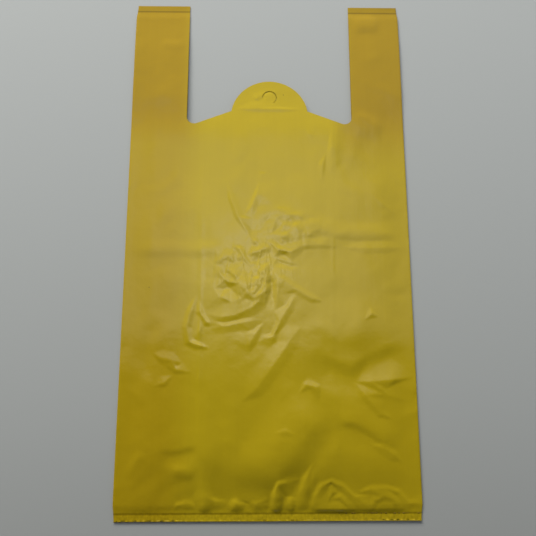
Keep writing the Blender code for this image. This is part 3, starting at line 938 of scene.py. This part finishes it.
# Settings that several nodes share
SMOOTH = {"interpolation_type": "SMOOTHSTEP"}
MULTIPLY = {"operation": "MULTIPLY"}
ABSOLUTE = {"operation": "ABSOLUTE"}
DISTANCE = {"operation": "DISTANCE"}


def add_node(tree, kind, settings=(), links=(), values=()):
    """Add a node: settings are its own attributes, values its inputs, links pairs of input and socket."""
    node = tree.nodes.new(kind)
    for name, value in dict(settings).items():
        setattr(node, name, value)
    for name, value in dict(values).items():
        node.inputs[name].default_value = value
    for name, source in dict(links).items():
        tree.links.new(source, node.inputs[name])
    return node


def plain_material(name, values):
    """A material that is the same all over, from the values on its shader."""
    material = bpy.data.materials.new(name)
    material.use_nodes = True
    shader = material.node_tree.nodes["Principled BSDF"]
    for socket, value in values.items():
        shader.inputs[socket].default_value = value
    return material


def folded_and_warm_cast_share(tree, axes, lay):
    """How far the deeper colour shows: most on the left, where it is partly the gusset's extra layers and
    partly a painted warm cast of light from the left, and in the handles, from their extra layers.
    """
    fold = lay.gusset_inner
    across = add_node(tree, "ShaderNodeMath", ABSOLUTE, {0: axes.outputs["X"]})
    # Left side only: partly the gusset's extra layers, partly a painted warm cast of light from the left
    left = add_node(tree, "ShaderNodeMapRange", SMOOTH, {"Value": axes.outputs["X"]},
                    {"From Min": -(fold - 6) * MM, "From Max": -(fold + 40) * MM, "To Max": 0.5})
    beside = add_node(tree, "ShaderNodeMapRange", SMOOTH, {"Value": across.outputs[0]},
                      {"From Min": (fold - 6) * MM, "From Max": (fold + 30) * MM})
    above = add_node(tree, "ShaderNodeMapRange", SMOOTH, {"Value": axes.outputs["Y"]},
                     {"From Min": lay.along(lay.mouth_low - 60), "From Max": lay.along(lay.mouth_low + 20),
                      "To Min": 0.1})
    handle = add_node(tree, "ShaderNodeMath", MULTIPLY, {0: beside.outputs[0], 1: above.outputs[0]})
    return add_node(tree, "ShaderNodeMath", {"operation": "MAXIMUM"},
                    {0: left.outputs[0], 1: handle.outputs[0]}).outputs[0]


def film_shades(tree, place, axes, streaks, lay):
    """What makes the film lighter or darker in places, each as a share of its colour."""
    shades = [add_node(tree, "ShaderNodeMapRange", links={"Value": streaks},
                       values={"To Min": 0.975, "To Max": 1.025})]
    # Clouds about 70 mm across, from the uneven wall of blown film
    clouds = add_node(tree, "ShaderNodeTexNoise", links={"Vector": place},
                      values={"Scale": 14.0, "Detail": 2.0})
    shades.append(add_node(tree, "ShaderNodeMapRange", links={"Value": clouds.outputs["Fac"]},
                           values={"To Min": 0.95, "To Max": 1.05}))
    # The heat of the welds darkened a line across each end
    for weld in (lay.bottom_weld, lay.top_weld):
        from_weld = add_node(tree, "ShaderNodeMath", {"operation": "SUBTRACT"}, {0: axes.outputs["Y"]},
                             {1: lay.along(weld)})
        away = add_node(tree, "ShaderNodeMath", ABSOLUTE, {0: from_weld.outputs[0]})
        shades.append(add_node(tree, "ShaderNodeMapRange", SMOOTH, {"Value": away.outputs[0]},
                               {"From Min": 0.4 * MM, "From Max": 1.4 * MM, "To Min": 0.62, "To Max": 1.0}))
    # Below the bottom weld, painted highlights and shade of the gathers that this heat drew into the film, as
    # upright strokes about 2 mm apart
    upright = add_node(tree, "ShaderNodeMapping", links={"Vector": place},
                       values={"Scale": (480.0, 260.0, 1.0)})
    gather_sheen_noise = add_node(tree, "ShaderNodeTexNoise", links={"Vector": upright.outputs[0]},
                       values={"Scale": 1.0, "Detail": 2.0})
    painted_gather_sheen = add_node(tree, "ShaderNodeMapRange", links={"Value": gather_sheen_noise.outputs["Fac"]},
                      values={"From Min": 0.3, "From Max": 0.7, "To Min": -0.22, "To Max": 0.06})
    at_skirt = add_node(tree, "ShaderNodeMapRange", SMOOTH, {"Value": axes.outputs["Y"]},
                        {"From Min": lay.along(lay.bottom_weld + 3.0),
                         "From Max": lay.along(lay.bottom_weld - 1.0)})
    # Painted highlights and shade of the gathers, only below the bottom weld
    shades.append(add_node(tree, "ShaderNodeMath", {"operation": "MULTIPLY_ADD"},
                           {0: painted_gather_sheen.outputs[0], 1: at_skirt.outputs[0]}, {2: 1.0}))
    flat = add_node(tree, "ShaderNodeVectorMath", MULTIPLY, {0: place}, {1: (1.0, 1.0, 0.0)})
    for x, y, radius in SPECKS:
        away = add_node(tree, "ShaderNodeVectorMath", DISTANCE, {0: flat.outputs[0]},
                        {1: (x * MM, lay.along(y), 0.0)})
        shades.append(add_node(tree, "ShaderNodeMapRange", SMOOTH, {"Value": away.outputs["Value"]},
                               {"From Min": 0.5 * radius * MM, "From Max": radius * MM,
                                "To Min": 0.25, "To Max": 1.0}))
    return [shade.outputs[0] for shade in shades]


def film_colour(tree, place, streaks, colours, lay):
    """The pigment's yellow, deeper where more layers lie over each other, and on the left also deepened by a
    painted warm cast of light.
    """
    axes = add_node(tree, "ShaderNodeSeparateXYZ", links={"Vector": place})
    yellow = add_node(tree, "ShaderNodeMix", {"data_type": "RGBA"},
                      {0: folded_and_warm_cast_share(tree, axes, lay)}, {6: colours.film, 7: colours.folded_and_warm_cast})
    first, *others = film_shades(tree, place, axes, streaks, lay)
    for shade in others:
        first = add_node(tree, "ShaderNodeMath", MULTIPLY, {0: first, 1: shade}).outputs[0]
    shaded = add_node(tree, "ShaderNodeHueSaturation", links={"Color": yellow.outputs[2], "Value": first})
    return shaded.outputs[0]


def crushed_ridges(tree, place, lay):
    """Thin straight ridges round facets about 8 by 24 mm, where the bag was crushed most."""
    fanned = add_node(tree, "ShaderNodeMapping", links={"Vector": place},
                      values={"Rotation": (0.0, 0.0, math.radians(-24)), "Scale": (120.0, 42.0, 60.0)})
    facets = add_node(tree, "ShaderNodeTexVoronoi", {"feature": "DISTANCE_TO_EDGE"},
                      {"Vector": fanned.outputs[0]}, {"Scale": 1.0})
    ridges = add_node(tree, "ShaderNodeMapRange", SMOOTH, {"Value": facets.outputs["Distance"]},
                      {"From Min": 0.0, "From Max": 0.2, "To Min": 1.0, "To Max": 0.0})
    x, y = CRUSHED_MIDDLE
    away = add_node(tree, "ShaderNodeVectorMath", DISTANCE, {0: place}, {1: (x * MM, lay.along(y), 0.0)})
    crushed = add_node(tree, "ShaderNodeMapRange", SMOOTH, {"Value": away.outputs["Value"]},
                       {"From Min": CRUSHED_CORE * MM, "From Max": CRUSHED_REACH * MM,
                        "To Min": 1.0, "To Max": 0.0})
    return add_node(tree, "ShaderNodeMath", MULTIPLY,
                    {0: ridges.outputs[0], 1: crushed.outputs[0]}).outputs[0]


def film_surface(tree, place, streaks, lay):
    """Relief of thin film under the creases that the mesh holds."""
    # Soft wrinkles of 5 to 40 mm, and a crinkle of 1 to 8 mm over them
    wrinkles = add_node(tree, "ShaderNodeTexNoise", {"noise_type": "RIDGED_MULTIFRACTAL"}, {"Vector": place},
                        {"Scale": 26.0, "Detail": 3.0, "Roughness": 0.45, "Distortion": 0.5})
    crinkle = add_node(tree, "ShaderNodeTexNoise", links={"Vector": place},
                       values={"Scale": 120.0, "Detail": 4.0, "Roughness": 0.55})
    # Each pattern with its strength and its height in metres
    patterns = ((wrinkles.outputs["Fac"], 0.9, 0.0009), (crinkle.outputs["Fac"], 0.3, 0.0006),
                (crushed_ridges(tree, place, lay), 0.4, 0.0003), (streaks, 0.12, 0.0003))
    links = {}
    for pattern, strength, height in patterns:
        bump = add_node(tree, "ShaderNodeBump", links={"Height": pattern, **links},
                        values={"Strength": strength, "Distance": height})
        links = {"Normal": bump.outputs[0]}
    return links["Normal"]


def film_material(colours, lay):
    """Blown polyethylene film, pigmented yellow: soft gloss, faint streaks along the blow, fine crinkle."""
    material = plain_material("polyethylene_film", {"Roughness": 0.19, "IOR": 1.51})
    tree = material.node_tree
    place = add_node(tree, "ShaderNodeTexCoord").outputs["Object"]
    # Streaks about 4 mm apart and 200 mm long
    stretched = add_node(tree, "ShaderNodeMapping", links={"Vector": place},
                         values={"Scale": (250.0, 5.0, 5.0)})
    noisy = add_node(tree, "ShaderNodeTexNoise", links={"Vector": stretched.outputs[0]},
                     values={"Scale": 1.0, "Detail": 3.0})
    streaks = noisy.outputs["Fac"]
    shader = tree.nodes["Principled BSDF"]
    tree.links.new(film_colour(tree, place, streaks, colours, lay), shader.inputs["Base Color"])
    tree.links.new(film_surface(tree, place, streaks, lay), shader.inputs["Normal"])
    return material


def melted_material(colours):
    """Polyethylene that melted and set again: darker than the film and as glossy."""
    return plain_material("melted_polyethylene", {"Base Color": colours.melted, "Roughness": 0.25,
                                                  "IOR": 1.51})


def board_material(colours):
    """Painted board: pale and matt, with next to no sheen in low views."""
    return plain_material("matt_board", {"Base Color": colours.floor, "Roughness": 0.95,
                                         "Specular IOR Level": 0.15})


def card_material():
    """Black card: dark and matt, so that it sends hardly any light back down."""
    return plain_material("black_card", {"Base Color": linear("#2A2A2A"), "Roughness": 0.9})


class OBJECT_OT_carrier_bag_film(bpy.types.Operator):
    """Build the film of the bag, folded, welded and cut, as one sheet"""

    bl_idname = "object.carrier_bag_film"
    bl_label = "Film"

    def execute(self, context):
        lay = Layout(context.scene.bag_sizes)
        sheet = bpy.data.objects.new("film_sheet", film_mesh(lay))
        context.collection.objects.link(sheet)
        wall = sheet.modifiers.new("film_wall", "SOLIDIFY")
        wall.thickness = lay.film * MM
        wall.offset = 0.0
        mesh = bpy.data.meshes.new_from_object(sheet.evaluated_get(context.evaluated_depsgraph_get()))
        bpy.data.objects.remove(sheet)
        if not mesh.polygons:
            raise RuntimeError("the film came out empty")
        bag = bpy.data.objects.new("bag_film", mesh)
        context.collection.objects.link(bag)
        mesh.shade_smooth()
        mesh.set_sharp_from_angle(angle=CUT_EDGE_ANGLE)
        mesh.materials.append(film_material(context.scene.bag_colours, lay))
        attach(bag, "root")
        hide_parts(BAG_NODE)
        return {"FINISHED"}


def bead_tree(material):
    """Geometry nodes that scatter beads of melted film along a straight weld."""
    tree = bpy.data.node_groups.new("weld_beads", "GeometryNodeTree")
    kinds = {"Start": "Vector", "End": "Vector", "Spacing": "Float", "Smallest": "Vector",
             "Largest": "Vector", "Share": "Float", "Seed": "Int"}
    keys = {}
    for name, kind in kinds.items():
        socket = tree.interface.new_socket(name=name, in_out="INPUT", socket_type="NodeSocket" + kind)
        keys[name] = socket.identifier
    tree.interface.new_socket(name="Geometry", in_out="OUTPUT", socket_type="NodeSocketGeometry")
    given = add_node(tree, "NodeGroupInput").outputs
    line = add_node(tree, "GeometryNodeCurvePrimitiveLine",
                    links={"Start": given["Start"], "End": given["End"]})
    points = add_node(tree, "GeometryNodeCurveToPoints", {"mode": "LENGTH"},
                      {"Curve": line.outputs["Curve"], "Length": given["Spacing"]})
    bead = add_node(tree, "GeometryNodeMeshIcoSphere", values={"Radius": 1.0, "Subdivisions": 2})
    size = add_node(tree, "FunctionNodeRandomValue", {"data_type": "FLOAT_VECTOR"},
                    {0: given["Smallest"], 1: given["Largest"], "Seed": given["Seed"]})
    chosen = add_node(tree, "FunctionNodeRandomValue", {"data_type": "BOOLEAN"},
                      {"Probability": given["Share"], "Seed": given["Seed"]})
    beads = add_node(tree, "GeometryNodeInstanceOnPoints", links={
        "Points": points.outputs["Points"], "Selection": chosen.outputs[3],
        "Instance": bead.outputs["Mesh"], "Scale": size.outputs[0]})
    solid = add_node(tree, "GeometryNodeRealizeInstances", links={"Geometry": beads.outputs["Instances"]})
    painted = add_node(tree, "GeometryNodeSetMaterial", links={"Geometry": solid.outputs["Geometry"]},
                       values={"Material": material})
    add_node(tree, "NodeGroupOutput", links={"Geometry": painted.outputs["Geometry"]})
    return tree, keys


class OBJECT_OT_carrier_bag_beads(bpy.types.Operator):
    """Scatter the beads of melted film along the bottom weld"""

    bl_idname = "object.carrier_bag_beads"
    bl_label = "Weld beads"

    def execute(self, context):
        lay = Layout(context.scene.bag_sizes)
        material = melted_material(context.scene.bag_colours)
        tree, keys = bead_tree(material)
        line = bpy.data.objects.new("bead_line", bpy.data.meshes.new("bead_line"))
        context.collection.objects.link(line)
        height = lay.film / 2 + FRONT * float(lay.layers(lay.bottom_weld)) + lay.film / 2
        start, end = [(x * MM, lay.along(lay.bottom_weld), height * MM) for x in (BEADS_FROM, BEADS_TO)]
        beads = line.modifiers.new("weld_beads", "NODES")
        beads.node_group = tree
        values = {"Start": start, "End": end, "Spacing": BEAD_SPACING * MM,
                  "Smallest": [size * MM for size in BEAD_SMALLEST],
                  "Largest": [size * MM for size in BEAD_LARGEST], "Share": BEAD_SHARE, "Seed": BEAD_SEED}
        for name, value in values.items():
            beads[keys[name]] = value
        mesh = bpy.data.meshes.new_from_object(line.evaluated_get(context.evaluated_depsgraph_get()))
        bpy.data.objects.remove(line)
        if not mesh.polygons:
            raise RuntimeError("the weld beads came out empty")
        piece = bpy.data.objects.new("weld_beads", mesh)
        context.collection.objects.link(piece)
        mesh.shade_smooth()
        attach(piece, "root")
        return {"FINISHED"}


class OBJECT_OT_carrier_bag_stage(bpy.types.Operator):
    """Set the pale floor, the soft light and the camera"""

    bl_idname = "object.carrier_bag_stage"
    bl_label = "Floor, light and camera"

    def execute(self, context):
        scene = context.scene
        add_board(scene, "floor", FLOOR_SIZE, FLOOR_PLACE, board_material(scene.bag_colours))
        for light in LIGHTS:
            add_light(scene, *light)
        # The card dims the light from above over the near end of the bag, and the camera doesn't see it
        add_board(scene, "shade", SHADE_SIZE, SHADE_PLACE, card_material(), seen=False)
        add_room(scene)
        add_camera(scene)
        scene.view_settings.view_transform = "Standard"
        return {"FINISHED"}


def add_board(scene, name, size, place, material, seen=True):
    """A flat board of the stage, of the given size, with its middle at the place."""
    bm = bmesh.new()
    bmesh.ops.create_grid(bm, x_segments=1, y_segments=1, size=0.5)
    bmesh.ops.scale(bm, vec=(*size, 1.0), verts=bm.verts)
    bmesh.ops.translate(bm, vec=place, verts=bm.verts)
    mesh = bpy.data.meshes.new(name)
    bm.to_mesh(mesh)
    bm.free()
    mesh.materials.append(material)
    board = bpy.data.objects.new(name, mesh)
    board.visible_camera = seen
    scene.collection.objects.link(board)


def add_light(scene, name, place, target, size, power, colour, mirrored):
    """An area light that faces its target."""
    data = bpy.data.lights.new(name, "AREA")
    data.shape = "RECTANGLE"
    data.size, data.size_y = size
    data.energy = power
    data.color = colour
    light = bpy.data.objects.new(name, data)
    light.visible_glossy = mirrored
    light.location = place
    light.rotation_euler = (Vector(target) - Vector(place)).to_track_quat("-Z", "Y").to_euler()
    scene.collection.objects.link(light)


def add_room(scene):
    """The even light that comes from all round."""
    world = bpy.data.worlds.new("room")
    world.use_nodes = True
    background = world.node_tree.nodes["Background"]
    background.inputs["Color"].default_value = ROOM_COLOUR
    background.inputs["Strength"].default_value = ROOM_STRENGTH
    scene.world = world


def add_camera(scene):
    """The camera, at the photograph's viewing angle."""
    data = bpy.data.cameras.new("camera")
    data.sensor_width = SENSOR_WIDTH
    data.lens = FOCAL_PIXELS / IMAGE_SIDE * SENSOR_WIDTH
    data.clip_start = NEAREST_SEEN
    camera = bpy.data.objects.new("camera", data)
    turn = (Matrix.Rotation(CAMERA_ROLL, 4, "Z") @ Matrix.Rotation(CAMERA_PITCH, 4, "X")
            @ Matrix.Rotation(CAMERA_YAW, 4, "Y"))
    camera.matrix_world = Matrix.Translation(CAMERA_PLACE) @ turn
    scene.collection.objects.link(camera)
    scene.camera = camera


class VIEW3D_PT_carrier_bag(bpy.types.Panel):
    """Steps that build the bag"""

    bl_label = "Carrier Bag"
    bl_idname = "VIEW3D_PT_carrier_bag"
    bl_space_type = "VIEW_3D"
    bl_region_type = "UI"
    bl_category = "Carrier Bag"

    def draw(self, context):
        for operator in OPERATORS:
            self.layout.operator(operator.bl_idname)


OPERATORS = (OBJECT_OT_carrier_bag_stage, OBJECT_OT_carrier_bag_film, OBJECT_OT_carrier_bag_beads)
CLASSES = (BagSizes, BagColours) + OPERATORS + (VIEW3D_PT_carrier_bag,)


def register():
    for item in CLASSES:
        bpy.utils.register_class(item)
    bpy.types.Scene.bag_sizes = bpy.props.PointerProperty(type=BagSizes)
    bpy.types.Scene.bag_colours = bpy.props.PointerProperty(type=BagColours)


def unregister():
    del bpy.types.Scene.bag_colours
    del bpy.types.Scene.bag_sizes
    for item in reversed(CLASSES):
        bpy.utils.unregister_class(item)


def main():
    """Build the stage and the bag."""
    register()
    bpy.ops.object.carrier_bag_stage()
    bpy.ops.object.carrier_bag_film()
    bpy.ops.object.carrier_bag_beads()


if __name__ == "__main__":
    main()
